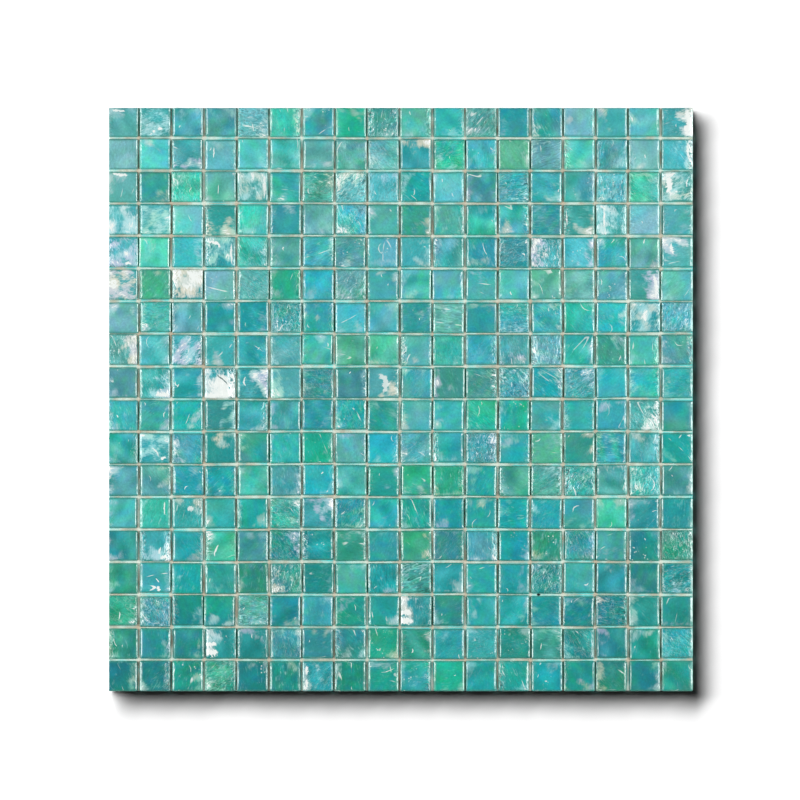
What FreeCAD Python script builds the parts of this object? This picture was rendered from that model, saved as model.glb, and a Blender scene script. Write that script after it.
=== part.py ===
import FreeCAD, Part
import Sketcher
import os

# A flexible mosaic sheet: square glass tiles in straight rows, bonded to an open net of glass-fibre
# yarns, with cream fill in the joints. The face looks up. The origin is the middle of the underside,
# +X runs along the rows and +Y across them. Lengths are in millimetres, angles in degrees.

# name in the sheet, value, what it is
SIZES = [
    ("tile_side", 15.3, "side of a tile where it is widest, at the foot of its front bevel"),
    ("tile_thickness", 4.0, "thickness of a tile"),
    ("joint_width", 1.1, "open joint between two tiles of a row, and between two rows"),
    ("columns", 18, "tiles in a row"),
    ("rows", 18, "rows in the sheet"),
    ("bevel_width", 1.2, "how far the front bevel runs in from each side of a tile"),
    ("bevel_depth", 0.75, "how far the front bevel runs down the side of a tile"),
    ("back_draft", 0.3, "how much further in each side of a tile is at the back"),
    ("row_drift", 0.12, "most that a row lies off its line, along the row"),
    ("drift_turn", 140.0, "turn of the sine that spreads the drift over the rows"),
    ("fill_recess", 1.3, "how far the fill lies below the tiles' faces"),
    ("fill_setback", 0.45, "how far the fill ends inside the outermost tiles' sides"),
    ("yarn_width", 1.0, "width of a yarn of the net"),
    ("yarn_thickness", 0.3, "thickness of a yarn of the net"),
    ("yarn_spacing", 5.5, "from one yarn to the next"),
    ("net_margin", 1.5, "how far the net ends inside the outermost tiles' sides"),
]

# Formulas that several pieces share
PITCH = "(sizes.tile_side + sizes.joint_width)"
NET_TOP = "(2 * sizes.yarn_thickness)"
FIELD_LENGTH = f"(sizes.columns * {PITCH} - sizes.joint_width)"
FIELD_WIDTH = f"(sizes.rows * {PITCH} - sizes.joint_width)"


def make_sheet(doc):
    """The spreadsheet of driving sizes, one row for each."""
    sheet = doc.addObject("Spreadsheet::Sheet", "sizes")
    for number, (name, value, note) in enumerate(SIZES, start=1):
        sheet.set(f"A{number}", name)
        sheet.set(f"B{number}", str(value))
        sheet.set(f"C{number}", note)
        sheet.setAlias(f"B{number}", name)
    doc.recompute()
    return sheet


def origin_feature(body, role):
    """A plane or axis of the body's own origin."""
    return next(item for item in body.Origin.OriginFeatures if item.Role == role)


def centred_rectangle(body, name, length, width, height):
    """A rectangle about the body's origin, lying flat at a height. The three are formulas."""
    sketch = body.newObject("Sketcher::SketchObject", name)
    sketch.AttachmentSupport = [(origin_feature(body, "XY_Plane"), "")]
    sketch.MapMode = "FlatFace"
    corners = [FreeCAD.Vector(x, y, 0) for x, y in ((-1, -1), (1, -1), (1, 1), (-1, 1))]
    for start, end in zip(corners, corners[1:] + corners[:1]):
        sketch.addGeometry(Part.LineSegment(start, end))
    for side in range(4):
        sketch.addConstraint(Sketcher.Constraint("Coincident", side, 2, (side + 1) % 4, 1))
    for side, direction in enumerate(("Horizontal", "Vertical", "Horizontal", "Vertical")):
        sketch.addConstraint(Sketcher.Constraint(direction, side))
    sketch.addConstraint(Sketcher.Constraint("Symmetric", 0, 1, 1, 2, -1, 1))
    sketch.addConstraint(Sketcher.Constraint("DistanceX", 0, 1, 0, 2, 2.0))
    sketch.renameConstraint(sketch.ConstraintCount - 1, "length")
    sketch.addConstraint(Sketcher.Constraint("DistanceY", 1, 1, 1, 2, 2.0))
    sketch.renameConstraint(sketch.ConstraintCount - 1, "width")
    sketch.setExpression("Constraints.length", length)
    sketch.setExpression("Constraints.width", width)
    sketch.setExpression("AttachmentOffset.Base.z", height)
    return sketch


def row_of_copies(body, feature, axis, count, spacing):
    """Repeats a feature along an axis of its body, as solids that don't touch."""
    pattern = body.newObject("PartDesign::LinearPattern", "copies")
    pattern.Originals = [feature]
    pattern.Direction = (origin_feature(body, axis), [""])
    pattern.Mode = "Spacing"
    pattern.setExpression("Occurrences", count)
    pattern.setExpression("Offset", spacing)
    body.Tip = pattern


def make_tile_row(doc, index):
    """One row of tiles. Each flares from its back to its full width and is bevelled round its face."""
    body = doc.addObject("PartDesign::Body", f"tile_row_{index + 1:02d}")
    body.AllowCompound = True
    back_side = "sizes.tile_side - 2 * sizes.back_draft"
    face_side = "sizes.tile_side - 2 * sizes.bevel_width"
    face_height = f"{NET_TOP} + sizes.tile_thickness"
    back = centred_rectangle(body, "back", back_side, back_side, NET_TOP)
    shoulder = centred_rectangle(
        body, "shoulder", "sizes.tile_side", "sizes.tile_side", f"{face_height} - sizes.bevel_depth"
    )
    face = centred_rectangle(body, "face", face_side, face_side, face_height)
    tile = body.newObject("PartDesign::AdditiveLoft", "tile")
    tile.Profile = back
    tile.Sections = [shoulder, face]
    tile.Ruled = True
    row_of_copies(body, tile, "X_Axis", "sizes.columns", PITCH)
    drift = f"sizes.row_drift * sin({index} * sizes.drift_turn)"
    body.setExpression("Placement.Base.x", f"(1 - sizes.columns) / 2 * {PITCH} + {drift}")
    body.setExpression("Placement.Base.y", f"((sizes.rows - 1) / 2 - {index}) * {PITCH}")
    return body


def make_joint_fill(doc, tile_rows):
    """The lattice of fill: a plate as thick as the fill, less every tile that stands in it."""
    plate = doc.addObject("Part::Box", "fill_plate")
    plate.setExpression("Length", f"{FIELD_LENGTH} - 2 * sizes.fill_setback")
    plate.setExpression("Width", f"{FIELD_WIDTH} - 2 * sizes.fill_setback")
    plate.setExpression("Height", "sizes.tile_thickness - sizes.fill_recess")
    plate.setExpression("Placement.Base.x", "-Length / 2")
    plate.setExpression("Placement.Base.y", "-Width / 2")
    plate.setExpression("Placement.Base.z", NET_TOP)
    tiles = doc.addObject("Part::Compound", "all_tiles")
    tiles.Links = tile_rows
    fill = doc.addObject("Part::Cut", "joint_fill")
    fill.Base = plate
    fill.Tool = tiles
    return fill


def make_yarns(doc, name, along, height):
    """One layer of the net: straight flat yarns side by side. `along` is the axis they run along."""
    body = doc.addObject("PartDesign::Body", name)
    body.AllowCompound = True
    if along == "X":
        length, span, across = FIELD_LENGTH, FIELD_WIDTH, "Y_Axis"
    else:
        length, span, across = FIELD_WIDTH, FIELD_LENGTH, "X_Axis"
    run = f"{length} - 2 * sizes.net_margin"
    sides = (run, "sizes.yarn_width") if along == "X" else ("sizes.yarn_width", run)
    outline = centred_rectangle(body, "outline", *sides, height)
    yarn = body.newObject("PartDesign::Pad", "yarn")
    yarn.Profile = outline
    yarn.setExpression("Length", "sizes.yarn_thickness")
    gaps = f"floor(({span} - 2 * sizes.net_margin - sizes.yarn_width) / sizes.yarn_spacing)"
    row_of_copies(body, yarn, across, f"{gaps} + 1", "sizes.yarn_spacing")
    first = f"-{gaps} * sizes.yarn_spacing / 2"
    body.setExpression("Placement.Base.y" if along == "X" else "Placement.Base.x", first)
    return body


def check(doc, sub_parts):
    """Stops if any object failed, or a sub-part has no sound solids."""
    for item in doc.Objects:
        if "Invalid" in item.State or "Error" in item.State:
            raise RuntimeError(f"{item.Name} failed: {item.State}")
    for item in sub_parts:
        shape = item.Shape
        if shape.isNull() or not shape.isValid() or not shape.Solids:
            raise RuntimeError(f"{item.Name} has no valid solid")


doc = FreeCAD.newDocument("mosaic_sheet")
sheet = make_sheet(doc)
tile_rows = [make_tile_row(doc, index) for index in range(int(sheet.rows))]
joint_fill = make_joint_fill(doc, tile_rows)
net_warp = make_yarns(doc, "net_warp", "Y", "0")
net_weft = make_yarns(doc, "net_weft", "X", "sizes.yarn_thickness")
sub_parts = tile_rows + [joint_fill, net_warp, net_weft]
doc.recompute()
check(doc, sub_parts)

os.makedirs("parts", exist_ok=True)
for item in sub_parts:
    item.Label = item.Name
    item.Shape.exportStep(f"parts/{item.Label}.step")
    print(item.Label, len(item.Shape.Solids), "solids", round(item.Shape.Volume, 3), "mm3")
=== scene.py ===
import math
import bpy
import numpy as np
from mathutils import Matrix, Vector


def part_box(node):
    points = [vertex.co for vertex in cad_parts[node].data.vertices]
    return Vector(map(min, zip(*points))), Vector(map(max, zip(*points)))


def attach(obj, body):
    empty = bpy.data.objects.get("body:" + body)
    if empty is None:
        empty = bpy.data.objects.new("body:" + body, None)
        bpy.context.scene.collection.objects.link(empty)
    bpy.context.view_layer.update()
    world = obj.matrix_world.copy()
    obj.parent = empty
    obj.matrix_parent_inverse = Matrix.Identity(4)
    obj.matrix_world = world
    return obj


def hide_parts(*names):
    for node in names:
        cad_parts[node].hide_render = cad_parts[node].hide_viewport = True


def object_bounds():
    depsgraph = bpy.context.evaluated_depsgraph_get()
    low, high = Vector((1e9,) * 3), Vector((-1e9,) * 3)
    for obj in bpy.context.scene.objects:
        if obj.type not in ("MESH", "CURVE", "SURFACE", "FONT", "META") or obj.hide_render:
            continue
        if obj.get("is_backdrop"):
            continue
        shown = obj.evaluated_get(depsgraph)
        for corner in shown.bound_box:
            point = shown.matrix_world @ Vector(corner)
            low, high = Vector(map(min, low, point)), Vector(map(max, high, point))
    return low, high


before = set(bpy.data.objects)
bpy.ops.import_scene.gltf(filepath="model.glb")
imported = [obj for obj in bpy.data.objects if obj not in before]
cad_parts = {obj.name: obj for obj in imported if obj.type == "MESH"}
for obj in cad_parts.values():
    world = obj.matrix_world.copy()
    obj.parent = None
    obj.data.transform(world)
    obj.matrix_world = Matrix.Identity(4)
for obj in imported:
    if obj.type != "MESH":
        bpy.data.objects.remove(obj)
cadLow, cadHigh = (np.array(corner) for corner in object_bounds())
print("frame loaded with", len(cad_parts), "nodes")

# The sheet lies on its net with the faces up. Shapes are worked out in millimetres and put into the
# meshes in metres.
millimetre = 0.001
sheetLow, sheetHigh = cadLow / millimetre, cadHigh / millimetre
tileRowNames = sorted(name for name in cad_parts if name.startswith("tile_row_"))


def linearColour(screen):
    # Screen values of 0 to 255 as the linear light that shaders take
    share = np.clip(np.asarray(screen, float) / 255, 0, 1)
    return np.where(share <= 0.04045, share / 12.92, ((share + 0.055) / 1.055) ** 2.4)


def nodeBox(name):
    # Lowest and highest corners of a CAD node
    low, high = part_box(name)
    return np.array(low) / millimetre, np.array(high) / millimetre


def nodePoints(name):
    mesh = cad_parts[name].data
    points = np.empty(len(mesh.vertices) * 3)
    mesh.vertices.foreach_get("co", points)
    return points.reshape(-1, 3) / millimetre


# The photo shows the grid of tiles a little spread and off the middle of the sheet, across and up, so
# that its outermost tiles are narrower on the left and at the top
tileGridSpread = np.array([1.0028, 1.0023])
tileGridShift = np.array([-0.64, 0.24])


def tileCentres(name):
    # The flat of a tile's face has two side lines, so the top points of a row give its tiles in pairs
    points = nodePoints(name)
    lines = np.unique(points[points[:, 2] > points[:, 2].max() - 0.01, 0].round(2))
    low, high = nodeBox(name)
    centres = (lines[0::2] + lines[1::2]) / 2
    centres = np.stack([centres, np.full_like(centres, (low[1] + high[1]) / 2)], 1)
    return centres * tileGridSpread + tileGridShift


def gridFaces(rows, columns, wrap=False):
    # Quads between neighbouring points of a grid stored row by row; wrap joins the last column to the first
    across = columns if wrap else columns - 1
    i, j = np.meshgrid(np.arange(rows - 1), np.arange(across), indexing="ij")
    right = (j + 1) % columns
    start, end = i * columns, (i + 1) * columns
    return np.stack([start + j, start + right, end + right, end + j], -1).reshape(-1, 4)


def makeMesh(name, points, faces, material, smooth=True):
    # points in millimetres; faces is a list of index arrays, one for each number of corners
    mesh = bpy.data.meshes.new(name)
    mesh.vertices.add(len(points))
    mesh.vertices.foreach_set("co", (points * millimetre).astype(np.float32).ravel())
    corners = np.concatenate([block.ravel() for block in faces])
    sizes = np.concatenate([np.full(len(block), block.shape[1]) for block in faces])
    mesh.loops.add(len(corners))
    mesh.loops.foreach_set("vertex_index", corners.astype(np.int32))
    mesh.polygons.add(len(sizes))
    mesh.polygons.foreach_set("loop_start", (np.cumsum(sizes) - sizes).astype(np.int32))
    mesh.update(calc_edges=True)
    mesh.polygons.foreach_set("use_smooth", np.full(len(sizes), smooth))
    mesh.materials.append(material)
    piece = bpy.data.objects.new(name, mesh)
    bpy.context.scene.collection.objects.link(piece)
    return piece


def addAttribute(piece, name, kind, values):
    field = "color" if kind == "FLOAT_COLOR" else "vector" if kind == "FLOAT_VECTOR" else "value"
    layer = piece.data.attributes.new(name, kind, "POINT")
    layer.data.foreach_set(field, np.ascontiguousarray(values, np.float32).ravel())


def withAlpha(colour, alpha=1.0):
    return np.concatenate([colour, np.broadcast_to(alpha, colour.shape[:-1])[..., None]], -1)


def waveField(random, x, y, wavelength, waves=6):
    # A smooth random field for each tile: the sum of plane waves, each with its own direction, phase
    # and a length near the one given, scaled to a spread of 1
    shape = (len(x), waves, 1, 1)
    angle = random.uniform(0, 2 * math.pi, shape)
    length = wavelength * random.uniform(0.7, 1.5, shape)
    phase = random.uniform(0, 2 * math.pi, shape)
    along = x[:, None] * np.cos(angle) + y[:, None] * np.sin(angle)
    return np.sin(2 * math.pi * along / length + phase).sum(1) * math.sqrt(2 / waves)


def smoothStep(low, high, value):
    share = np.clip((value - low) / (high - low), 0, 1)
    return share * share * (3 - 2 * share)


# Node helpers for the materials

def newMaterial(name):
    material = bpy.data.materials.new(name)
    material.use_nodes = True
    return material, material.node_tree, material.node_tree.nodes["Principled BSDF"]


def addNode(tree, kind, inputs=None, **settings):
    # inputs maps a socket's name or number to a value, or to the output that feeds it
    node = tree.nodes.new(kind)
    for name, value in settings.items():
        setattr(node, name, value)
    for name, value in (inputs or {}).items():
        if isinstance(value, bpy.types.NodeSocket):
            tree.links.new(value, node.inputs[name])
        else:
            node.inputs[name].default_value = value
    return node


def mathNode(tree, operation, first, second=0.0, clamp=False):
    inputs = {0: first, 1: second}
    return addNode(tree, "ShaderNodeMath", inputs, operation=operation, use_clamp=clamp).outputs[0]


def mixColour(tree, share, first, second, blend="MIX"):
    node = addNode(tree, "ShaderNodeMix", {"Factor": share}, data_type="RGBA", blend_type=blend)
    for socket, value in ((node.inputs[6], first), (node.inputs[7], second)):
        if isinstance(value, bpy.types.NodeSocket):
            tree.links.new(value, socket)
        else:
            socket.default_value = (*value, 1)
    return node.outputs[2]


def ramp(tree, share, stops):
    # stops is a list of place and colour
    node = addNode(tree, "ShaderNodeValToRGB", {"Fac": share})
    elements = node.color_ramp.elements
    while len(elements) < len(stops):
        elements.new(0.5)
    for element, (place, colour) in zip(elements, stops):
        element.position = place
        element.color = (*colour, 1)
    return node.outputs["Color"]


def rangeNode(tree, value, low, high, newLow=0.0, newHigh=1.0):
    inputs = {"Value": value, "From Min": low, "From Max": high, "To Min": newLow, "To Max": newHigh}
    return addNode(tree, "ShaderNodeMapRange", inputs, interpolation_type="SMOOTHSTEP").outputs["Result"]


def stretchedNoise(tree, place, scale, detail=2.0, distortion=0.0, shift=(0.0, 0.0, 0.0)):
    # scale is in waves for each millimetre along the three axes of place
    moved = addNode(tree, "ShaderNodeMapping", {"Vector": place, "Scale": scale, "Location": shift})
    inputs = {"Vector": moved.outputs[0], "Scale": 1.0, "Detail": detail, "Distortion": distortion}
    return addNode(tree, "ShaderNodeTexNoise", inputs).outputs["Fac"]


def attributeNode(tree, name, output):
    return addNode(tree, "ShaderNodeAttribute", attribute_name=name).outputs[output]


def greyNode(tree, value):
    return addNode(tree, "ShaderNodeCombineColor", {0: value, 1: value, 2: value}).outputs[0]


# Glass of the tiles

glass = {
    # white of painted glare, painted crease and bubble highlights, and of bright scratches
    "glareAndScratchWhite": (246, 252, 248),
    # dark of marks, and of painted shade along creases
    "darkMarkAndCreaseShade": (30, 96, 96),
    "wispColour": (170, 226, 222),
    "paintedCreaseLight": 0.32,          # share of a crease's painted shade and highlight at its middle
    "roughness": 0.3,
    "wornRoughness": 0.3,    # added where a bevel has lost its polish
    "bevelGrain": 0.7,       # height of the grains there, as a share of reliefDistance
    "ior": 1.8,
    "coatRoughness": 0.04,
    "reliefDistance": 0.25,
}


def glintShare(tree, name, jag):
    # A glint is a painted highlight in the shape of an ellipse. The attribute gives a place as shares of
    # its length and width, which are squared and summed, and how strong it is, less than 0 for a dark
    # mark; jag breaks its long sides.
    glint = attributeNode(tree, name, "Vector")
    along, across, strength = addNode(tree, "ShaderNodeSeparateXYZ", {0: glint}).outputs
    across = mathNode(tree, "ADD", across, jag)
    acrossSquare = mathNode(tree, "MULTIPLY", across, across)
    squares = mathNode(tree, "ADD", mathNode(tree, "MULTIPLY", along, along), acrossSquare)
    return mathNode(tree, "MULTIPLY", rangeNode(tree, squares, 0.6, 1.1, 1.0, 0.0), strength)


def glassMaterial():
    # Coloured glass under a hard iridescent skin, whose sheen is painted into the colour. A tile's own
    # attributes give the body colour, how much painted sheen a place has and in which tint, and
    # grainPlace, a place in millimetres that is turned and shifted differently on each tile. traits holds
    # how streaky, scratched and bubbly a tile is.
    material, tree, shader = newMaterial("iridescentGlass")
    body = attributeNode(tree, "bodyColour", "Color")
    sheenTint, opacity = attributeNode(tree, "sheenColour", "Color"), attributeNode(tree, "sheenColour", "Alpha")
    paintedSheen = attributeNode(tree, "paintedSheen", "Fac")
    crumple = attributeNode(tree, "crumple", "Fac")
    grain = attributeNode(tree, "grainPlace", "Vector")
    traits = attributeNode(tree, "traits", "Vector")
    streaky, scratched, bubbly = addNode(tree, "ShaderNodeSeparateXYZ", {0: traits}).outputs
    cloud = stretchedNoise(tree, grain, (0.25, 0.25, 1.0), 3.0, 0.5)
    # curved streaks, a fine mottle and, where crumpled, painted shade and light of the folds change the body
    streak = stretchedNoise(tree, grain, (0.16, 0.6, 1.0), 2.0, 1.6)
    swing = mathNode(tree, "MULTIPLY", mathNode(tree, "SUBTRACT", streak, 0.5), streaky)
    mottle = stretchedNoise(tree, grain, (0.9, 0.9, 1.0), 2.0, 0.6, (29.0, 83.0, 0.0))
    wrinkle = stretchedNoise(tree, grain, (0.3, 0.62, 1.0), 1.8, 1.8, (3.0, 47.0, 0.0))
    paintedFoldLight = mathNode(tree, "MULTIPLY", mathNode(tree, "SUBTRACT", wrinkle, 0.5), crumple)
    depth = mathNode(tree, "ADD", mathNode(tree, "MULTIPLY", swing, 1.1), 1.0)
    mottled = mathNode(tree, "MULTIPLY", mathNode(tree, "SUBTRACT", mottle, 0.5), 0.6)
    depth = mathNode(tree, "ADD", depth, mottled)
    depth = mathNode(tree, "ADD", depth, mathNode(tree, "MULTIPLY", paintedFoldLight, 1.4))
    streakedAndFoldLit = mixColour(tree, 1.0, body, greyNode(tree, depth), "MULTIPLY")
    # pale wisps inside the streaks
    wisp = stretchedNoise(tree, grain, (0.2, 0.9, 1.0), 2.0, 1.8, (57.0, 13.0, 0.0))
    wispLevel = mathNode(tree, "ADD", wisp, mathNode(tree, "MULTIPLY", cloud, 0.5))
    wispLimit = mathNode(tree, "MULTIPLY", streaky, 0.6, True)
    wispShare = mathNode(tree, "MULTIPLY", rangeNode(tree, wispLevel, 0.84, 1.0), wispLimit)
    wisped = mixColour(tree, wispShare, streakedAndFoldLit, linearColour(glass["wispColour"]))
    # painted iridescent sheen that tints the body and adds painted light, with its edge broken by the
    # cloud, the folds and the streaks, and a painted white glare where it is thickest
    jagged = stretchedNoise(tree, grain, (0.25, 0.6, 1.0), 2.0, 1.5, (11.0, 71.0, 0.0))
    jag = rangeNode(tree, jagged, 0.3, 0.7, -0.5, 0.5)
    # the painted light of the folds also ripples the edge of the painted sheen
    ripple = mathNode(tree, "MULTIPLY", paintedFoldLight, 2.2)
    broken = mathNode(tree, "ADD", mathNode(tree, "MULTIPLY", jag, 0.25), mathNode(tree, "ADD", swing, ripple))
    broken = mathNode(tree, "ADD", broken, rangeNode(tree, cloud, 0.3, 0.7, -0.16, 0.16))
    thickness = rangeNode(tree, mathNode(tree, "ADD", paintedSheen, broken), 0.32, 1.0)
    sheenShare = mathNode(tree, "MULTIPLY", thickness, opacity)
    tinted = mixColour(tree, mathNode(tree, "MULTIPLY", sheenShare, 0.35), wisped, sheenTint)
    sheened = mixColour(tree, mathNode(tree, "MULTIPLY", sheenShare, 0.8), tinted, sheenTint, "SCREEN")
    # creases of crumpled glass are painted as shade beside highlight along the even lines of a slow noise
    slow = stretchedNoise(tree, grain, (0.14, 0.4, 1.0), 1.0, 1.2, (43.0, 61.0, 0.0))
    for height, tone in ((0.44, glass["darkMarkAndCreaseShade"]), (0.47, glass["glareAndScratchWhite"]), (0.56, glass["glareAndScratchWhite"])):
        distance = mathNode(tree, "ABSOLUTE", mathNode(tree, "SUBTRACT", slow, height))
        paintedCreaseLight = rangeNode(tree, distance, 0.0, 0.02, glass["paintedCreaseLight"], 0.0)
        paintedCreaseLight = mathNode(tree, "MULTIPLY", paintedCreaseLight, mathNode(tree, "MULTIPLY", crumple, 0.8, True))
        sheened = mixColour(tree, paintedCreaseLight, sheened, linearColour(tone))
    glareEdge = mathNode(tree, "ADD", paintedSheen, mathNode(tree, "MULTIPLY", jag, 0.5))
    glareEdge = mathNode(tree, "ADD", glareEdge, ripple)
    glare = rangeNode(tree, glareEdge, 1.0, 1.3)
    # painted glints whiten the colour; glints of negative strength are dark marks
    shade = 0.0
    for name in ("glintA", "glintB"):
        glint = glintShare(tree, name, jag)
        glare = mathNode(tree, "MAXIMUM", glare, glint)
        shade = mathNode(tree, "MAXIMUM", shade, mathNode(tree, "MULTIPLY", glint, -1.0))
    glared = mixColour(tree, glare, sheened, linearColour(glass["glareAndScratchWhite"]))
    glared = mixColour(tree, shade, glared, linearColour(glass["darkMarkAndCreaseShade"]))
    # fine bright scratches along the even lines of a slow noise, broken into short pieces
    hair = stretchedNoise(tree, grain, (0.03, 0.14, 1.0), 0.0, 0.0, (5.0, 31.0, 0.0))
    hairDistance = mathNode(tree, "ABSOLUTE", mathNode(tree, "SUBTRACT", hair, 0.5))
    piecePlace = rangeNode(tree, stretchedNoise(tree, grain, (0.12, 0.12, 1.0), 1.0), 0.52, 0.68)
    hairEdge = mathNode(tree, "SUBTRACT", hairDistance, mathNode(tree, "MULTIPLY", piecePlace, 0.014))
    hairLine = rangeNode(tree, hairEdge, -0.004, 0.003, 1.0, 0.0)
    hairShare = mathNode(tree, "MULTIPLY", mathNode(tree, "MULTIPLY", hairLine, piecePlace), scratched, True)
    scratchedColour = mixColour(tree, hairShare, glared, linearColour(glass["glareAndScratchWhite"]))
    # small bubbles near each other, with painted white highlights where they would catch the light
    cells = addNode(tree, "ShaderNodeTexVoronoi", {"Vector": grain, "Scale": 0.75, "Randomness": 1.0})
    swarm = stretchedNoise(tree, grain, (0.2, 0.2, 1.0), 1.0, 0.0, (91.0, 3.0, 0.0))
    bubblePlace = rangeNode(tree, swarm, 0.58, 0.66)
    bubble = rangeNode(tree, cells.outputs["Distance"], 0.12, 0.36, 1.0, 0.0)
    bubbleShare = mathNode(tree, "MULTIPLY", mathNode(tree, "MULTIPLY", bubble, bubblePlace), bubbly, True)
    coloured = mixColour(tree, bubbleShare, scratchedColour, linearColour(glass["glareAndScratchWhite"]))
    tree.links.new(coloured, shader.inputs["Base Color"])
    # the polish of the bevels is broken into grains, and some sides have hardly any of it
    drop = addNode(tree, "ShaderNodeSeparateXYZ", {0: grain}).outputs[2]
    onBevel = rangeNode(tree, drop, -0.3, -0.04, 1.0, 0.0)
    fineWear = stretchedNoise(tree, grain, (0.75, 0.75, 1.0), 2.0, 0.0, (23.0, 7.0, 0.0))
    broadWear = stretchedNoise(tree, grain, (0.13, 0.13, 1.0), 1.0, 0.0, (67.0, 19.0, 0.0))
    wear = mathNode(tree, "ADD", mathNode(tree, "MULTIPLY", fineWear, 0.8), broadWear)
    worn = mathNode(tree, "MULTIPLY", rangeNode(tree, wear, 0.86, 1.06), onBevel)
    wornRoughness = mathNode(tree, "MULTIPLY", worn, glass["wornRoughness"])
    roughness = mathNode(tree, "ADD", wornRoughness, glass["roughness"])
    tree.links.new(roughness, shader.inputs["Roughness"])
    tree.links.new(mathNode(tree, "SUBTRACT", 1.0, worn), shader.inputs["Coat Weight"])
    shader.inputs["IOR"].default_value = glass["ior"]
    shader.inputs["Coat Roughness"].default_value = glass["coatRoughness"]
    # relief too fine for the mesh: orange peel everywhere, wrinkles where crumpled, grains on the bevels
    peel = stretchedNoise(tree, grain, (0.8, 0.8, 1.0), 2.0)
    peelHeight = mathNode(tree, "ADD", mathNode(tree, "MULTIPLY", crumple, 0.12), 0.14)
    relief = mathNode(tree, "MULTIPLY", peel, peelHeight)
    relief = mathNode(tree, "ADD", relief, mathNode(tree, "MULTIPLY", wrinkle, crumple))
    relief = mathNode(tree, "ADD", relief, mathNode(tree, "MULTIPLY", bubbleShare, 0.3))
    bevelGrain = mathNode(tree, "MULTIPLY", mathNode(tree, "MULTIPLY", fineWear, onBevel), glass["bevelGrain"])
    relief = mathNode(tree, "ADD", relief, bevelGrain)
    bump = addNode(tree, "ShaderNodeBump", {
        "Height": relief, "Strength": 1.0, "Distance": glass["reliefDistance"] * millimetre
    })
    tree.links.new(bump.outputs[0], shader.inputs["Normal"])
    tree.links.new(bump.outputs[0], shader.inputs["Coat Normal"])
    return material


def wallMaterial():
    # The sides and the back keep the dull surface of the mould
    material, tree, shader = newMaterial("dullGlassSide")
    tree.links.new(attributeNode(tree, "bodyColour", "Color"), shader.inputs["Base Color"])
    shader.inputs["Roughness"].default_value = 0.85
    shader.inputs["Specular IOR Level"].default_value = 0.1
    return material


tile = {
    "seed": 52,
    "bevelWidth": 1.2,       # from a side in to the rim of the face
    "bevelDepth": 0.75,
    "bevelCurve": 1.6,       # 1 is a straight bevel, more is rounder
    "bevelSpread": 0.2,      # share by which one side's bevel differs from another's
    # share of its width that a bevel keeps on the outside of the sheet
    "outerBevels": {"left": 0.1, "right": 1.75, "bottom": 1.0, "top": 0.4},
    "cornerPower": 4.2,      # higher is a sharper corner seen from above
    "faceCells": 16,         # mesh cells across the face
    "bevelCells": 5,         # and down a bevel
    "lip": 0.15,             # upright edge under a bevel
    "backDraft": 0.3,        # how much further in each side is at the back
    # darker green of the glass's edge with painted shade, towards the foot of a bevel
    "edgeShadeGreen": (58, 144, 124),
    "edgeShare": 0.75,       # share of that colour at the foot of a bevel
    "edgeClearing": 0.5,     # how much less painted sheen there is there
    "wallShade": 0.6,        # colour of the upright sides as a share of that
    "outerWallShade": 0.15,  # and of the sheet's outer sides as a share of that
    "shift": 0.22,           # usual distance of a tile off its place
    "turn": 0.55,            # usual turn, in degrees
    "stretch": 0.007,        # usual share that a side is longer or shorter
    "tilt": 0.4,             # usual tilt of a face, in degrees
    "sink": 0.15,            # most that a face lies low
}

# Body colours as seen on a screen: the middle one, and steps that tiles take from it
bodyColour = {
    "middle": (67, 176, 177),
    "light": (11.0, 9.0, 10.0),     # paler or deeper
    "strength": (-14.5, 3.0, 5.0),  # purer or greyer
    "hue": (0.5, -6.5, 5.5),        # bluer or greener
    "down": (-49.0, -27.0, -30.0),  # from the top of the sheet to its bottom
    "aside": (10.0, 5.0, 5.0),      # from its middle to its left and right, at the top
}
# Tints of the painted iridescent sheen
sheenColours = {
    "ice": (168, 222, 226), "lavender": (196, 180, 220), "cream": (240, 222, 186), "mint": (168, 226, 194),
    "white": (228, 238, 236),
}
# The tiles with the most painted sheen: row, column, share of the face, direction of its side in
# degrees, tint
sheenTiles = [
    (0, 0, 0.12, 110, "white"), (0, 1, 0.5, -80, "ice"), (0, 17, 0.34, 0, "white"), (1, 2, 0.2, -60, "lavender"),
    (1, 17, 0.25, 15, "ice"), (2, 0, 0.12, 120, "white"), (3, 3, 0.22, -85, "cream"),
    (2, 4, 0.55, 100, "ice"), (2, 17, 0.52, 130, "ice"), (3, 0, 0.62, -80, "ice"), (3, 1, 0.5, -60, "mint"),
    (3, 14, 0.13, -50, "cream"), (3, 15, 0.5, 170, "ice"), (4, 0, 0.55, -70, "lavender"), (4, 3, 0.5, 100, "mint"),
    (4, 13, 0.28, 165, "lavender"), (4, 17, 0.28, 125, "white"), (5, 0, 0.62, -165, "cream"),
    (5, 2, 0.9, 75, "cream"), (5, 16, 0.32, -5, "lavender"), (6, 16, 0.6, 100, "ice"), (7, 0, 0.32, 10, "cream"),
    (7, 2, 0.6, -85, "lavender"), (8, 1, 0.3, -40, "ice"), (8, 3, 0.95, -85, "white"), (8, 4, 0.32, 30, "lavender"),
    (8, 8, 0.18, -45, "cream"), (9, 16, 0.24, -35, "white"), (10, 1, 0.46, 110, "ice"), (13, 1, 0.26, -60, "ice"),
    (10, 3, 0.18, 75, "cream"), (11, 0, 0.1, 160, "white"), (12, 2, 0.14, 70, "cream"),
    (15, 9, 0.22, 160, "white"), (16, 3, 0.22, 160, "white"), (17, 6, 0.15, -165, "white"),
]
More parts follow.
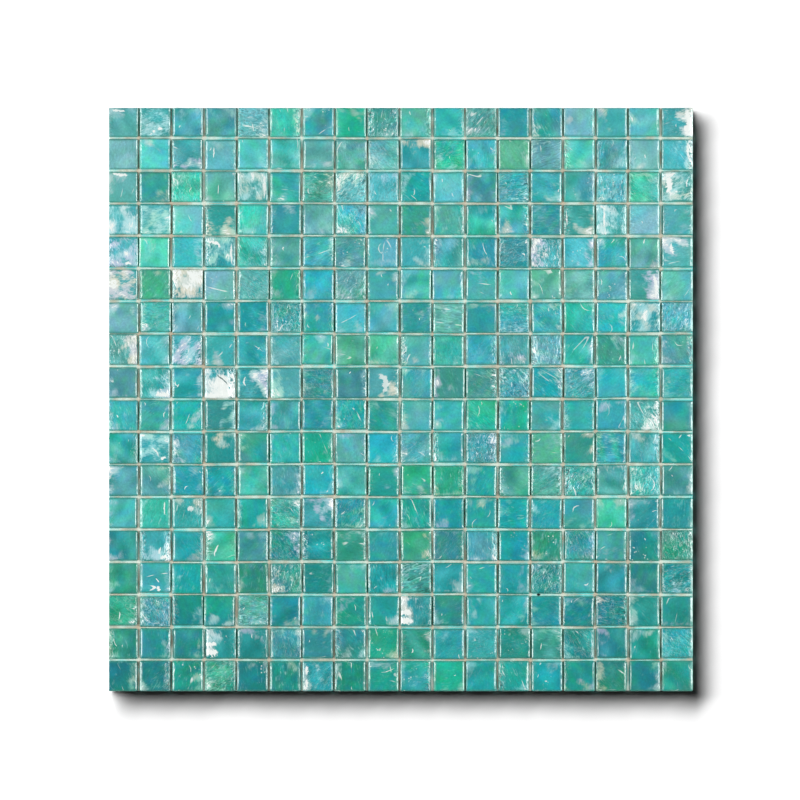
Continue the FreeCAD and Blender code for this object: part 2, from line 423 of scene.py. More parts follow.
# The largest painted glints: row, column, place right and up of the tile's middle, half length,
# half width, direction in degrees, bend, strength
glints = [
    (0, 1, 2.6, -3.4, 1.3, 0.9, 0, 0.2, 1.0), (1, 3, -3.4, 1.2, 2.8, 0.3, 88, 0.0, 1.0),
    (2, 4, 6.0, 0.0, 6.2, 0.7, 90, 0.0, 0.8), (2, 17, -4.2, 0.8, 4.6, 1.5, 90, 0.0, 1.0),
    (2, 17, 4.6, 2.0, 2.2, 0.4, 80, 0.3, 0.9), (4, 0, 2.4, -5.8, 1.6, 0.8, 0, 0.0, 1.0),
    (4, 17, -3.0, 1.5, 3.0, 0.8, 100, 0.3, 1.0), (6, 16, -0.4, 0.4, 2.8, 0.7, 95, 0.3, 1.0),
    (8, 3, 1.2, -2.0, 6.6, 4.6, 100, 0.1, 0.9), (8, 3, 1.2, 2.0, 3.9, 0.35, -40, 0.1, -0.9),
    (8, 4, -4.5, 1.0, 2.4, 0.5, 90, 0.4, 0.9), (8, 8, 1.2, 0.2, 5.2, 1.8, 106, -0.5, 0.7),
    (15, 9, -5.6, -0.6, 3.6, 1.2, 5, 0.1, 1.0), (15, 9, -5.2, -4.8, 4.0, 1.7, 0, 0.0, 1.0),
    (16, 3, -5.6, -0.6, 3.4, 1.2, 5, 0.1, 1.0), (16, 3, -5.2, -4.8, 3.8, 1.7, 0, 0.0, 1.0),
    (17, 6, -5.6, 3.0, 2.4, 0.8, 90, 0.0, 1.0), (17, 6, -5.6, -3.6, 2.2, 0.7, 90, 0.0, 1.0),
    (0, 0, -2.6, 6.1, 3.6, 0.6, -5, 0.0, 0.9), (0, 1, -0.6, -4.9, 0.8, 0.6, 0, 0.0, 1.0), (0, 17, 5.8, 0.0, 8.0, 1.8, 90, -0.25, 0.95),
    (1, 17, 5.2, 0.6, 5.4, 0.7, 100, 0.3, 0.85), (2, 0, -1.6, 6.3, 4.4, 0.7, -6, 0.0, 0.95),
    (3, 14, 4.6, -4.8, 2.0, 0.8, 35, 0.0, 0.8), (3, 14, -6.2, 1.0, 4.0, 0.35, 92, 0.0, 0.7),
    (3, 15, -3.6, 0.0, 5.2, 0.45, 90, 0.02, 1.0), (4, 3, -2.6, 4.6, 3.6, 0.8, -20, 0.4, 1.0),
    (4, 3, 5.6, -1.0, 5.6, 0.5, 92, 0.1, 0.9), (5, 16, 6.0, -0.6, 6.0, 1.0, 96, -0.1, 0.9),
    (9, 16, 4.0, -3.8, 3.4, 0.4, -58, 0.3, 1.0), (9, 16, 5.7, -2.2, 3.6, 0.4, -62, 0.3, 1.0),
    (13, 1, 4.4, -5.6, 1.5, 0.9, 0, 0.0, 1.0), (13, 1, 2.2, -2.4, 1.9, 0.6, 75, 0.2, 0.9),
    (10, 1, 4.4, -5.0, 1.4, 0.9, 40, 0.2, 1.0), (10, 1, 0.8, -1.6, 3.0, 0.4, -50, 0.3, 0.8),
    (12, 1, 4.8, 2.6, 3.4, 0.4, 92, 0.1, 0.9), (12, 2, 1.4, 2.2, 1.7, 1.2, 20, 0.0, 0.75),
    (13, 3, -2.8, -2.0, 3.2, 0.5, 70, 0.3, 0.9), (14, 1, 1.6, -5.6, 1.4, 0.9, 90, 0.0, 1.0),
]


def tileLevels(thickness):
    # The edge's profile from the rim of the face down to the foot. The bevel falls by depth times a
    # power of the share of its width; the lip is upright, and the side then draws in to the back.
    # Returns the share of the bevel's width, the drawing in, and the drop at each level.
    bevel = np.linspace(0, 1, tile["bevelCells"] + 1)
    share = np.append(bevel, [1, 1])
    inset = np.append(np.zeros_like(bevel), [0, tile["backDraft"]])
    drop = np.append(tile["bevelDepth"] * bevel ** tile["bevelCurve"], [tile["bevelDepth"] + tile["lip"], thickness])
    return share, inset, drop


def tileGrid(side, thickness, widths):
    # A square grid for each tile. Inner lines run over the face; each further line steps one level down
    # the edge. In a corner the two steps share the way out by a power mean, which rounds it.
    # widths holds the bevels' widths at the left, right, bottom and top of each tile.
    share, inset, drop = tileLevels(thickness)
    levels = len(share) - 1
    steps = np.arange(1, levels + 1)
    face = np.linspace(0, 1, tile["faceCells"] + 1)
    place = np.concatenate([np.zeros(levels), face, np.ones(levels)])
    step = np.concatenate([-steps[::-1], np.zeros(len(face)), steps])
    stepX, stepY = np.meshgrid(step, step)
    level = np.maximum(abs(stepX), abs(stepY)).astype(int)
    power = tile["cornerPower"]
    mean = np.maximum((abs(stepX) ** power + abs(stepY) ** power) ** (1 / power), 1e-9)
    left, right, bottom, top = (widths[:, k, None, None] for k in range(4))
    x = -side / 2 + left + place[None, None, :] * (side - left - right)
    y = -side / 2 + bottom + place[None, :, None] * (side - bottom - top)
    x = x + stepX / mean * (share[level] * np.where(stepX < 0, left, right) - inset[level])
    y = y + stepY / mean * (share[level] * np.where(stepY < 0, bottom, top) - inset[level])
    return x, y, -drop[level], level


def tileRelief(random, x, y, crumple):
    # The relief of the faces: a pillow that falls towards the sides with the fourth power, long swells,
    # shorter ripples, and on crumpled tiles ridges, which are one less the size of a wave field
    shape = (len(x), 1, 1)
    pillow = -random.gamma(1.3, 0.05, shape) * ((x / 7) ** 4 + (y / 7) ** 4)
    swell = waveField(random, x, y, 15) * random.gamma(2.0, 0.022, shape)
    ripple = waveField(random, x, y, 5.5) * random.gamma(2.0, 0.006, shape)
    ridge = (1 - abs(waveField(random, x, y, 6))) * crumple * 0.15
    relief = np.maximum(pillow, -0.5) + swell + ripple + ridge
    for _ in range(3):
        dentX, dentY = random.uniform(-6, 6, shape), random.uniform(-6, 6, shape)
        radius = random.uniform(0.8, 2.0, shape)
        depth = random.uniform(-0.12, 0.08, shape) * (random.uniform(0, 1, shape) < 0.25)
        relief += depth * np.exp(-((x - dentX) ** 2 + (y - dentY) ** 2) / radius ** 2)
    return relief


def roughSides(random, x):
    # Crumpling that rises towards the left and right sides, much on a few tiles and little on most
    left, right = np.minimum(random.gamma(0.5, 0.7, (2, len(x), 1, 1)), 2)
    return left * smoothStep(3.6, 6.6, -x) + right * smoothStep(3.6, 6.6, x)


def colourTiles(random, x, y, height, width, share):
    # Each tile takes its own steps from the middle colour, and smooth fields add to them across the
    # tile. height runs from 0 at the top of the sheet to 1 at its bottom, width from its left to its
    # right. Tiles with a large share of painted sheen stay near the middle colour.
    shape = (len(x), 1, 1)
    light = random.normal(0, 1.25, shape) + waveField(random, x, y, 11, 4) * random.uniform(0.2, 1.2, shape)
    strength = random.normal(0, 1.15, shape) + waveField(random, x, y, 13, 4) * random.uniform(0.1, 0.8, shape)
    angle = random.uniform(0, 2 * math.pi, shape)
    slope = (x * np.cos(angle) + y * np.sin(angle)) / 7
    blend = smoothStep(-0.9, 0.9, slope + 0.5 * waveField(random, x, y, 14, 4)) - 0.5
    hue = 1.0 - np.minimum(random.gamma(1.7, 0.8, shape), 3.6)
    hue = hue + blend * np.clip(random.normal(0, 1.4, shape), -2.2, 2.2)
    hue += waveField(random, x, y, 5, 5) * random.uniform(0.2, 0.6, shape)
    muchSheen = share[:, None, None] > 0.115
    hue, strength = np.where(muchSheen, 0.4 + 0.3 * hue, hue), np.where(muchSheen, 0.5 * strength, strength)
    aside = (abs(2 * width - 1) ** 1.5 * (1 - height))[:, None, None]
    down = np.full(shape, height ** 2)
    light, strength, hue = np.clip(light, -2.3, 3.0), np.clip(strength, -1.7, 2.6), np.clip(hue, -4.0, 1.5)
    amounts = {"light": light, "strength": strength, "hue": hue, "down": down, "aside": aside}
    screen = np.array(bodyColour["middle"], float)
    for name, amount in amounts.items():
        screen = screen + amount[..., None] * np.array(bodyColour[name])
    return linearColour(np.clip(screen, 12, 235))


def shadeEdges(colour, x, y, level, row):
    # Down a bevel the body turns to a darker green, the glass's edge colour with painted shade towards
    # the joint. The upright sides carry painted shade, which is much darker on the sheet's outer sides.
    down = tile["edgeShare"] * np.clip(level / tile["bevelCells"], 0, 1)[None, ..., None]
    shaded = colour * (1 - down) + linearColour(tile["edgeShadeGreen"]) * down
    onWall = level > tile["bevelCells"]
    shaded[:, onWall] *= tile["wallShade"]
    outer = np.zeros(x.shape, bool)
    outer[0] = x[0] < 0.9 * x[0].min()
    outer[-1] = x[-1] > 0.9 * x[-1].max()
    if row == len(tileRowNames) - 1:
        outer |= y < 0.9 * y.min()
    shaded[outer & onWall] *= tile["outerWallShade"]
    return shaded


def paintSheen(random, x, y, relief, row):
    # How much painted sheen each place has, a painted reflection of soft light. A tile's share of sheen
    # sets the level of a ramp that rises towards one side, less steeply where the share is large, bent
    # by a wave field and by the relief's slope. About 0.5 and over is pale, 1.3 is painted white glare.
    count = len(x)
    share = np.clip(random.exponential(0.06, count) - 0.06, -0.1, 0.3)
    direction = random.uniform(0, 360, count)
    names = random.choice(list(sheenColours), count, p=[0.36, 0.2, 0.12, 0.18, 0.14])
    for sheenRow, column, listedSheen, angle, tint in sheenTiles:
        if sheenRow == row:
            share[column], direction[column], names[column] = listedSheen, angle, tint
    angle = np.radians(direction)[:, None, None]
    climb = (x * np.cos(angle) + y * np.sin(angle)) / 7
    slope = abs(np.gradient(relief, axis=2)) / (15 / tile["faceCells"])
    part = share[:, None, None]
    steepness = np.select([part > 0.7, part > 0.45, part > 0.2], [0.35, 0.2, 0.85], 0.6)
    level, climb = 0.9 * part + np.where(part > 0.45, 0.16, 0.0), climb * steepness
    paintedSheen = level + climb + 0.18 * waveField(random, x, y, 8, 5) + np.minimum(slope, 0.3)
    tint = np.array([sheenColours[name] for name in names])[:, None, None]
    other = np.array([sheenColours[name] for name in random.choice(list(sheenColours), count)])[:, None, None]
    turn = smoothStep(-1.2, 1.2, waveField(random, x, y, 9, 5))[..., None] * 0.65
    opacity = np.where(share > 0.15, random.uniform(0.75, 0.95, count), random.uniform(0.25, 0.55, count))
    return paintedSheen, share, linearColour(tint * (1 - turn) + other * turn), opacity[:, None, None]


def glintTiles(random, x, y, row):
    # Two painted glints for each tile, as places along and across them in shares of their half lengths
    # and half widths, with the bend times the square of the way along added across. Most are short
    # upright dashes.
    count = len(x)
    fields = []
    for chance in (0.32, 0.15):
        placeX, placeY = random.uniform(-6.2, 6.2, count), random.uniform(-6.2, 6.2, count)
        length = 0.5 + random.gamma(1.3, 0.7, count)
        width = random.uniform(0.12, 0.3, count)
        angle = random.normal(90, 32, count)
        bend = random.normal(0, 0.5, count)
        strength = (random.uniform(0, 1, count) < chance) * random.uniform(0.5, 1, count)
        fields.append([placeX, placeY, length, width, angle, bend, strength])
    taken = set()
    for glintRow, column, *values in glints:
        if glintRow == row:
            field = fields[1 if column in taken else 0]
            taken.add(column)
            for amounts, value in zip(field, values):
                amounts[column] = value
    shares = []
    for field in fields:
        placeX, placeY, length, width, angle, bend, strength = (values[:, None, None] for values in field)
        turn = np.radians(angle)
        along = (x - placeX) * np.cos(turn) + (y - placeY) * np.sin(turn)
        across = (y - placeY) * np.cos(turn) - (x - placeX) * np.sin(turn)
        across = across + bend * along ** 2 / (length + 1)
        shares.append(np.stack([along / length, across / width, np.broadcast_to(strength, x.shape)], -1))
    return shares


def trimSide(world, edge):
    # Stretches tiles along one axis so that the outer side lies on the sheet's edge and the inner one stays
    low, high = world.min((1, 2), keepdims=True), world.max((1, 2), keepdims=True)
    inner = np.where(abs(low - edge) < abs(high - edge), high, low)
    return inner + (world - inner) * (edge - inner) / (low + high - 2 * inner)


def placeTiles(random, centres, x, y, relief, row):
    # Sets each tile at its place in the frame, a little shifted, turned, tilted and stretched. The
    # outermost tiles are square to the sheet and end on its edges.
    shape = (len(centres), 1, 1)
    turn = np.radians(np.clip(random.normal(0, tile["turn"], shape), -1.2, 1.2))
    stretchX, stretchY = 1 + np.clip(random.normal(0, tile["stretch"], (2, *shape)), -0.014, 0.014)
    shiftX, shiftY = np.clip(random.normal(0, tile["shift"], (2, *shape)), -0.4, 0.4)
    tiltX, tiltY = np.radians(random.normal(0, tile["tilt"], (2, *shape)))
    lastRow = len(tileRowNames) - 1
    turn[[0, -1]] = 0
    turn *= 0 < row < lastRow
    worldX = centres[:, 0, None, None] + shiftX + stretchX * (x * np.cos(turn) - y * np.sin(turn))
    worldY = centres[:, 1, None, None] + shiftY + stretchY * (x * np.sin(turn) + y * np.cos(turn))
    worldX[:1] = trimSide(worldX[:1], sheetLow[0])
    worldX[-1:] = trimSide(worldX[-1:], sheetHigh[0])
    if row == 0:
        worldY = trimSide(worldY, sheetHigh[1])
    if row == lastRow:
        worldY = trimSide(worldY, sheetLow[1])
    lift = relief + x * np.tan(tiltX) + y * np.tan(tiltY)
    return worldX, worldY, lift, random.uniform(0, tile["sink"], shape)


def makeTileRow(name, row, material, wall):
    # One row of tiles as one mesh, each tile a closed grid with its own relief and colours
    random = np.random.default_rng((tile["seed"], row))
    low, high = nodeBox(name)
    side, thickness = high[1] - low[1], high[2] - low[2]
    centres = tileCentres(name)
    count = len(centres)
    widths = tile["bevelWidth"] * (1 + random.uniform(-1, 1, (count, 4)) * tile["bevelSpread"])
    widths[0, 0] *= tile["outerBevels"]["left"]
    widths[-1, 1] *= tile["outerBevels"]["right"]
    if row == 0:
        widths[:, 3] *= tile["outerBevels"]["top"]
    if row == len(tileRowNames) - 1:
        widths[:, 2] *= tile["outerBevels"]["bottom"]
    x, y, drop, level = tileGrid(side, thickness, widths)
    lines = x.shape[1]
    crumple = np.clip(random.gamma(0.45, 0.45, count), 0.02, 1.1)
    plain = tileRelief(random, x, y, crumple[:, None, None])
    paintedSheen, share, sheenTint, opacity = paintSheen(random, x, y, plain, row)
    crumple = np.maximum(crumple, np.clip(share - 0.1, 0, 0.3) * random.uniform(0.8, 2.2, count))
    height = row / (len(tileRowNames) - 1)
    width = (centres[:, 0] - sheetLow[0]) / (sheetHigh[0] - sheetLow[0])
    colour = shadeEdges(colourTiles(random, x, y, height, width, share), x, y, level, row)
    paintedSheen -= tile["edgeClearing"] * np.clip(level / tile["bevelCells"], 0, 1)
    worldX, worldY, lift, sink = placeTiles(random, centres, x, y, plain, row)
    foot = level.max()
    room = np.where(level == foot, 0, 1 - 0.5 * level / foot)  # the foot stays where the tile rests
    worldZ = high[2] + drop + (lift - lift.max((1, 2), keepdims=True) - sink) * room
    points = np.stack([worldX, worldY, worldZ], -1).reshape(-1, 3)
    offsets = np.arange(count) * lines * lines
    top = (gridFaces(lines, lines)[None] + offsets[:, None, None]).reshape(-1, 4)
    edge = np.arange(lines)
    ring = np.concatenate([
        edge, edge[1:] * lines + lines - 1, (lines - 1) * lines + edge[-2::-1], edge[-2:0:-1] * lines
    ])
    back = ring[::-1][None] + offsets[:, None]
    piece = makeMesh(name + "_glass", points, [top, back], material)
    mesh = piece.data
    smooth = np.arange(len(mesh.polygons)) < len(top)
    number = np.arange((lines - 1) ** 2)
    smooth[number[number % (lines - 1) < level.max()]] = False  # the sheet's left side has a crisp edge
    mesh.polygons.foreach_set("use_smooth", smooth)
    onWall = np.tile(level.ravel() > tile["bevelCells"], count)
    mesh.materials.append(wall)
    mesh.polygons.foreach_set("material_index", np.append(onWall[top].any(1), np.ones(count)).astype(np.int32))
    ends = np.empty(len(mesh.edges) * 2, np.int32)
    mesh.edges.foreach_get("vertices", ends)
    onFoot = np.tile(level.ravel() == foot, count)[ends].reshape(-1, 2).all(1)
    mesh.attributes.new("sharp_edge", "BOOLEAN", "EDGE").data.foreach_set("value", onFoot)
    spin = random.normal(0, 0.5, (count, 1, 1)) + random.choice([0, math.pi / 2], (count, 1, 1), p=[0.4, 0.6])
    grainX = x * np.cos(spin) + y * np.sin(spin) + random.uniform(0, 900, (count, 1, 1))
    grainY = y * np.cos(spin) - x * np.sin(spin) + random.uniform(0, 900, (count, 1, 1))
    grain = np.stack([grainX, grainY, np.broadcast_to(drop, x.shape)], -1)
    streaky = random.gamma(1.2, 0.22, count)
    scratched = np.where(random.uniform(0, 1, count) < 0.35, random.uniform(0.4, 1, count), 0)
    bubbly = np.where(random.uniform(0, 1, count) < 0.1, random.uniform(0.3, 0.9, count), 0)
    traits = np.stack([streaky, scratched, bubbly], -1)[:, None, None]
    # the body colour, with painted shade down the bevels and on the sides
    addAttribute(piece, "bodyColour", "FLOAT_COLOR", withAlpha(colour))
    addAttribute(piece, "sheenColour", "FLOAT_COLOR", withAlpha(sheenTint, opacity))
    addAttribute(piece, "paintedSheen", "FLOAT", paintedSheen)
    addAttribute(piece, "crumple", "FLOAT", crumple[:, None, None] + roughSides(random, x))
    addAttribute(piece, "grainPlace", "FLOAT_VECTOR", grain)
    addAttribute(piece, "traits", "FLOAT_VECTOR", np.broadcast_to(traits, grain.shape))
    for glintName, share in zip(("glintA", "glintB"), glintTiles(random, x, y, row)):
        addAttribute(piece, glintName, "FLOAT_VECTOR", share)
    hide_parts(name)
    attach(piece, "root")
    return piece


glassSkin, glassWall = glassMaterial(), wallMaterial()
tileRows = [makeTileRow(name, row, glassSkin, glassWall) for row, name in enumerate(tileRowNames)]
print("tiles made in", len(tileRows), "rows")

# Fill in the joints

fill = {
    "seed": 7,
    "tuck": 0.45,        # how far a strip runs under the tiles' sides
    "step": 1.1,         # mesh step along a strip
    "hollow": 0.15,      # how much lower the middle of a strip lies than its edges
    "columnSink": 0.14,  # how much lower the fill between columns lies than that between rows
    "unevenness": 0.12,
    "end": 0.1,          # how far its ends lie inside the sheet's outer sides
    "light": (212, 218, 204),
    "pinkish": (222, 205, 178),
    # teal light that the glass passes, painted onto the fill beside the tiles
    "paintedGlassLight": (92, 204, 200),
    "glassLightReach": 0.5,       # from the middle of a joint to where its fill has the most painted glass light
    "glassLightAlongRows": (0.3, 0.8),     # least and most painted glass light of the joints between rows
    "glassLightAlongColumns": (0.12, 0.7),  # and of those between columns
    "holeShade": (69.4, -98.4),   # middle of a small hole in the fill, painted as dark shade
    "holeShadeSize": (0.95, 0.6),
    "roughness": 0.9,
}


def fillMaterial():
    # Cream, fine-grained and matt, pinkish in places, with the glass's teal light painted along the tiles
    material, tree, shader = newMaterial("creamFill")
    paintedGlassLight = attributeNode(tree, "paintedGlassLight", "Fac")
    place = addNode(tree, "ShaderNodeTexCoord").outputs["Object"]
    patches = addNode(tree, "ShaderNodeTexNoise", {"Vector": place, "Scale": 140.0, "Detail": 4.0}).outputs["Fac"]
    grains = addNode(tree, "ShaderNodeTexNoise", {"Vector": place, "Scale": 2600.0, "Detail": 2.0}).outputs["Fac"]
    cream = ramp(tree, patches, [(0.4, linearColour(fill["light"])), (0.6, linearColour(fill["pinkish"]))])
    spots = addNode(tree, "ShaderNodeTexNoise", {"Vector": place, "Scale": 90.0, "Detail": 5.0}).outputs["Fac"]
    paintedGlassLight = mathNode(tree, "MULTIPLY", paintedGlassLight, rangeNode(tree, spots, 0.35, 0.65, 0.4, 1.45), True)
    colour = mixColour(tree, paintedGlassLight, cream, linearColour(fill["paintedGlassLight"]))
    # the hole is painted shade, an ellipse that is black inside it
    inverse = [1 / (size * millimetre) for size in fill["holeShadeSize"]] + [0]
    middle = [-spot * millimetre * scale for spot, scale in zip(fill["holeShade"], inverse)] + [0]
    shares = addNode(tree, "ShaderNodeMapping", {"Vector": place, "Scale": inverse, "Location": middle})
    out = addNode(tree, "ShaderNodeVectorMath", {0: shares.outputs[0]}, operation="LENGTH").outputs["Value"]
    dark = rangeNode(tree, grains, 0.3, 0.7, 0.85, 1.05)
    dark = mathNode(tree, "MULTIPLY", dark, rangeNode(tree, patches, 0.35, 0.65, 1.15, 0.8))
    dark = mathNode(tree, "MULTIPLY", dark, rangeNode(tree, out, 0.8, 1.2))
    tree.links.new(mixColour(tree, 1.0, colour, greyNode(tree, dark), "MULTIPLY"), shader.inputs["Base Color"])
    shader.inputs["Roughness"].default_value = fill["roughness"]
    bump = addNode(tree, "ShaderNodeBump", {"Height": grains, "Strength": 0.6, "Distance": 0.1 * millimetre})
    tree.links.new(bump.outputs[0], shader.inputs["Normal"])
    return material


def makeStrip(random, start, end, halfWidth, bottom, top, crossings, paintedGlassLights):
    # A closed profile carried along a straight joint. Across, the top is a shallow trough; along, it
    # wanders up and down by a sum of waves. The painted glass light fades where other joints cross.
    count = int(round((end - start) / fill["step"])) + 1
    along = np.linspace(start, end, count)
    share = np.array([-1.0, -0.5, 0.0, 0.5, 1.0])
    waves = [
        np.sin(2 * math.pi * along / random.uniform(3, 25) + random.uniform(0, 2 * math.pi)) for _ in range(6)
    ]
    wander = sum(waves) * fill["unevenness"] / 3
    tops = np.minimum(top - fill["hollow"] * (1 - share ** 2) + wander[:, None], top)
    across = np.concatenate([share * halfWidth, [halfWidth, -halfWidth]])
    heights = np.concatenate([tops, np.full((count, 2), bottom)], 1)
    distance = abs(along[:, None] - crossings).min(1)
    least, most = paintedGlassLights
    paintedGlassLight = least + (most - least) * np.minimum(abs(across) / fill["glassLightReach"], 1)
    return along, across, heights, paintedGlassLight * smoothStep(0.3, 1.4, distance)[:, None]


def makeFill(material):
    random = np.random.default_rng(fill["seed"])
    low, high = nodeBox("joint_fill")
    columnLines = tileCentres(tileRowNames[0])[:, 0]
    rowLines = np.sort([tileCentres(name)[0, 1] for name in tileRowNames])
    tileLow, tileHigh = nodeBox(tileRowNames[0])
    halfWidth = (rowLines[1] - rowLines[0] - (tileHigh[1] - tileLow[1])) / 2 + fill["tuck"]
    blocks, paintedGlassLights, strips, ends, offset = [], [], [], [], 0
    rowJoints, columnJoints = (rowLines[1:] + rowLines[:-1]) / 2, (columnLines[1:] + columnLines[:-1]) / 2
    for joints, crossings, alongX in ((rowJoints, columnJoints, True), (columnJoints, rowJoints, False)):
        for middle in joints:
            axis = 0 if alongX else 1
            start, end = sheetLow[axis] + fill["end"], sheetHigh[axis] - fill["end"]
            glassLightRange = fill["glassLightAlongRows" if alongX else "glassLightAlongColumns"]
            top = high[2] if alongX else high[2] - fill["columnSink"]
            along, across, heights, paintedGlassLight = makeStrip(
                random, start, end, halfWidth, low[2], top, crossings, glassLightRange
            )
            paintedGlassLights.append(paintedGlassLight.ravel())
            count, sides = heights.shape
            length = np.broadcast_to(along[:, None], heights.shape)
            place = np.broadcast_to(middle + across, heights.shape)
            points = np.stack([length, place, heights] if alongX else [place, length, heights], -1)
            blocks.append(points.reshape(-1, 3))
            quads = gridFaces(count, sides, wrap=True)
            caps = np.stack([np.arange(sides)[::-1], np.arange(sides) + (count - 1) * sides])
            if alongX:
                quads, caps = quads[:, ::-1], caps[:, ::-1]
            strips.append(quads + offset)
            ends.append(caps + offset)
            offset += count * sides
    faces = [np.concatenate(strips), np.concatenate(ends)]
    piece = makeMesh("joint_fill_relief", np.concatenate(blocks), faces, material)
    addAttribute(piece, "paintedGlassLight", "FLOAT", np.concatenate(paintedGlassLights))
    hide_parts("joint_fill")
    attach(piece, "root")
    return piece


jointFill = makeFill(fillMaterial())
print("joint fill made with", len(jointFill.data.polygons), "faces")

# Backing net

net = {
    "sides": 6,              # corners of a yarn's section
    "stepsPerCrossing": 2,
    "light": (236, 236, 228),
    "dark": (196, 198, 190),
    "roughness": 0.5,
}


def yarnMaterial():
    # White coated glass fibre with fine filaments along the yarn
    material, tree, shader = newMaterial("netYarn")
    place = attributeNode(tree, "yarnPlace", "Vector")
    filaments = stretchedNoise(tree, place, (0.15, 9.0, 1.0))
    colour = ramp(tree, filaments, [(0.3, linearColour(net["dark"])), (0.65, linearColour(net["light"]))])
    tree.links.new(colour, shader.inputs["Base Color"])
    shader.inputs["Roughness"].default_value = net["roughness"]
    bump = addNode(tree, "ShaderNodeBump", {"Height": filaments, "Strength": 0.8, "Distance": 0.05 * millimetre})
    tree.links.new(bump.outputs[0], shader.inputs["Normal"])
    return material


def makeYarns(name, alongX, material):
    # Each yarn is a flat ellipse carried along a wave that goes over one crossing yarn and under the next
    points = nodePoints(name)
    across = np.unique(points[:, 1 if alongX else 0].round(3))
    middles = (across[0::2] + across[1::2]) / 2
    low, high = nodeBox(name)
    netLow = min(nodeBox("net_warp")[0][2], nodeBox("net_weft")[0][2])
    netHigh = max(nodeBox("net_warp")[1][2], nodeBox("net_weft")[1][2])
    start, end = (low[0], high[0]) if alongX else (low[1], high[1])
    width, thickness = across[1] - across[0], high[2] - low[2]
    spacing = middles[1] - middles[0]
    count = int(round((end - start) / spacing * net["stepsPerCrossing"])) + 1
    along = np.linspace(start, end, count)
    turn = np.linspace(0, 2 * math.pi, net["sides"], endpoint=False)
    yarn = np.arange(len(middles))[:, None]
    swing = (netHigh - netLow - thickness) / 2
    weave = np.cos(math.pi * along / spacing + math.pi * yarn) * (swing if alongX else -swing)
    shape = (len(middles), count, net["sides"])
    place = np.broadcast_to(middles[:, None, None] + np.cos(turn) * width / 2, shape)
    z = ((netLow + netHigh) / 2 + weave)[..., None] + np.sin(turn) * thickness / 2
    length = np.broadcast_to(along[None, :, None], shape)
    stacked = np.stack([length, place, z] if alongX else [place, length, z], -1).reshape(-1, 3)
    quads = gridFaces(count, net["sides"], wrap=True)
    caps = np.stack([np.arange(net["sides"])[::-1], np.arange(net["sides"]) + (count - 1) * net["sides"]])
    if not alongX:
        quads, caps = quads[:, ::-1], caps[:, ::-1]
    offsets = np.arange(len(middles)) * count * net["sides"]
    quads = (quads[None] + offsets[:, None, None]).reshape(-1, 4)
    caps = (caps[None] + offsets[:, None, None]).reshape(-1, net["sides"])
    piece = makeMesh(name + "_woven", stacked, [quads, caps], material)
    addAttribute(piece, "yarnPlace", "FLOAT_VECTOR", np.stack([length, place, z + yarn[..., None] * 7.3], -1))
    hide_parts(name)
    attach(piece, "root")
    return piece


yarnSkin = yarnMaterial()
netPieces = [makeYarns("net_warp", False, yarnSkin), makeYarns("net_weft", True, yarnSkin)]
print("net made with", sum(len(piece.data.polygons) for piece in netPieces), "faces")

# Floor, lamps and camera

stage = {
    "floorSize": 6000.0,
    "floorColour": (238, 238, 238),
    "keyStrength": 9000.0,
    "keyDistance": 12000.0,
    "keyElevation": 17.0,    # degrees above the floor
    "keyHeight": 2500.0,
    "keyBreadth": 19000.0,
    "skyStrength": 2.0,
    "skyDistance": 3000.0,
    "skyElevation": 90.0,
    "skyHeight": 4000.0,
    "skyBreadth": 4000.0,
    "sideStrength": 26.0,
    "sideDistance": 1500.0,
    "sideElevation": 32.0,
    "sideHeight": 1250.0,
    "sideBreadth": 900.0,
    "skyGloss": 0.05,
}


def makeFloor():
    material, tree, shader = newMaterial("paleFloor")
    shader.inputs["Base Color"].default_value = (*linearColour(stage["floorColour"]), 1)
    shader.inputs["Roughness"].default_value = 1.0
    shader.inputs["Specular IOR Level"].default_value = 0.0
    half = stage["floorSize"] / 2
    points = np.array([(-half, -half, -0.05), (half, -half, -0.05), (half, half, -0.05), (-half, half, -0.05)])
    floor = makeMesh("floor", points, [np.array([[0, 1, 2, 3]])], material, smooth=False)
    floor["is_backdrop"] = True
    return floor


def pointAt(thing, target):
    # A lamp shines along its own -Z
    direction = target - np.array(thing.location)
    yaw = math.atan2(direction[1], direction[0])
    pitch = math.acos(direction[2] / np.linalg.norm(direction))
    thing.rotation_euler = (math.pi - pitch, 0, yaw - math.pi / 2)


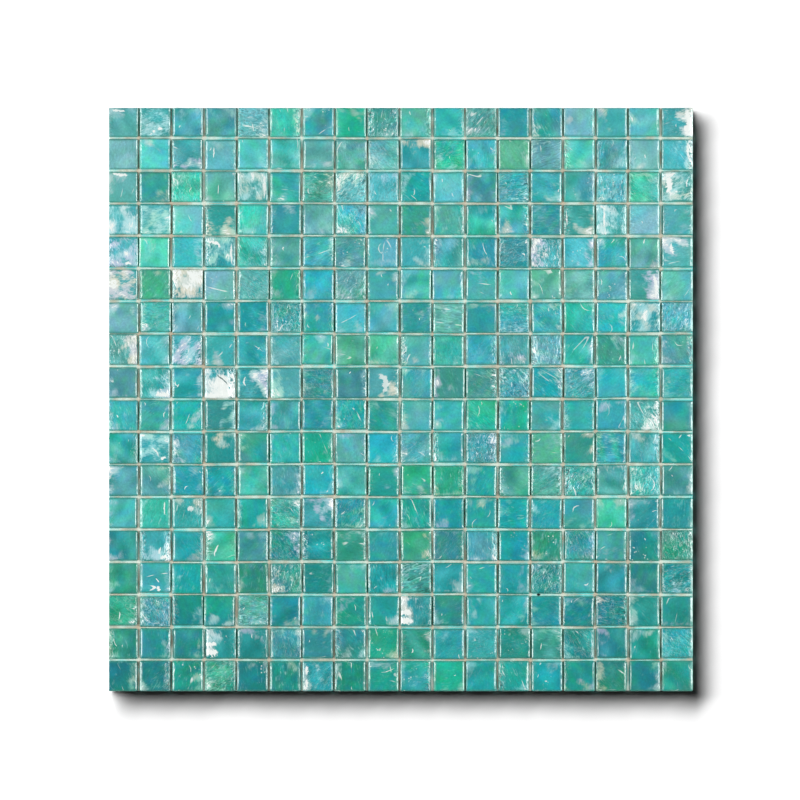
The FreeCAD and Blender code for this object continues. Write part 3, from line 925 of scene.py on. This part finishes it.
def makeLamp(name, kind, azimuth, receivers):
    # A soft box of the kind that the stage describes. It lights only its receivers, so that the floor's
    # soft shadow keeps its own direction.
    data = bpy.data.lights.new(name, "AREA")
    data.energy = stage[kind + "Strength"]
    data.shape = "RECTANGLE"
    data.size = stage[kind + "Breadth"] * millimetre
    data.size_y = stage[kind + "Height"] * millimetre
    lamp = bpy.data.objects.new(name, data)
    turn, climb = math.radians(azimuth), math.radians(stage[kind + "Elevation"])
    direction = np.array([math.cos(turn) * math.cos(climb), math.sin(turn) * math.cos(climb), math.sin(climb)])
    lamp.location = direction * stage[kind + "Distance"] * millimetre
    bpy.context.scene.collection.objects.link(lamp)
    lamp.visible_camera = False
    group = bpy.data.collections.new(name + "Receivers")
    for thing in receivers:
        group.objects.link(thing)
    lamp.light_linking.receiver_collection = group
    pointAt(lamp, np.zeros(3))


def makeLamps(floor, pieces):
    makeLamp("keyLamp", "key", 135, [floor])
    makeLamp("skyLamp", "sky", 0, [floor])
    makeLamp("leftLamp", "side", 180, pieces)
    makeLamp("rightLamp", "side", 0, pieces)


def makeWorld():
    # White to the camera, mirrored more faintly in gloss, and no light of its own on matt surfaces
    world = bpy.data.worlds.new("studio")
    world.use_nodes = True
    tree = world.node_tree
    path = addNode(tree, "ShaderNodeLightPath")
    gloss = mathNode(tree, "MULTIPLY", path.outputs["Is Glossy Ray"], stage["skyGloss"])
    strength = mathNode(tree, "MAXIMUM", path.outputs["Is Camera Ray"], gloss)
    background = tree.nodes["Background"]
    background.inputs["Color"].default_value = (1, 1, 1, 1)
    tree.links.new(strength, background.inputs["Strength"])
    bpy.context.scene.world = world


camera = {
    "lens": 300.0,
    "sheetPixels": 584.0,            # width of the sheet in a picture of 800 pixels
    "pictureWidth": 800.0,
    "sheetMiddle": (400.95, 399.5),  # the sheet's middle in the picture
}


def makeCamera():
    data = bpy.data.cameras.new("camera")
    data.lens = camera["lens"]
    data.clip_end = 100
    perPixel = (sheetHigh[0] - sheetLow[0]) / camera["sheetPixels"]
    distance = perPixel * camera["pictureWidth"] * camera["lens"] / data.sensor_width
    half = camera["pictureWidth"] / 2
    place = (
        (half - camera["sheetMiddle"][0]) * perPixel,
        (camera["sheetMiddle"][1] - half) * perPixel,
        sheetHigh[2] + distance,
    )
    holder = bpy.data.objects.new("camera", data)
    holder.location = np.array(place) * millimetre
    bpy.context.scene.collection.objects.link(holder)
    bpy.context.scene.camera = holder


floor = makeFloor()
makeLamps(floor, tileRows + [jointFill] + netPieces)
makeWorld()
makeCamera()
bpy.context.scene.view_settings.view_transform = "Standard"
print("floor, lamps and camera set")
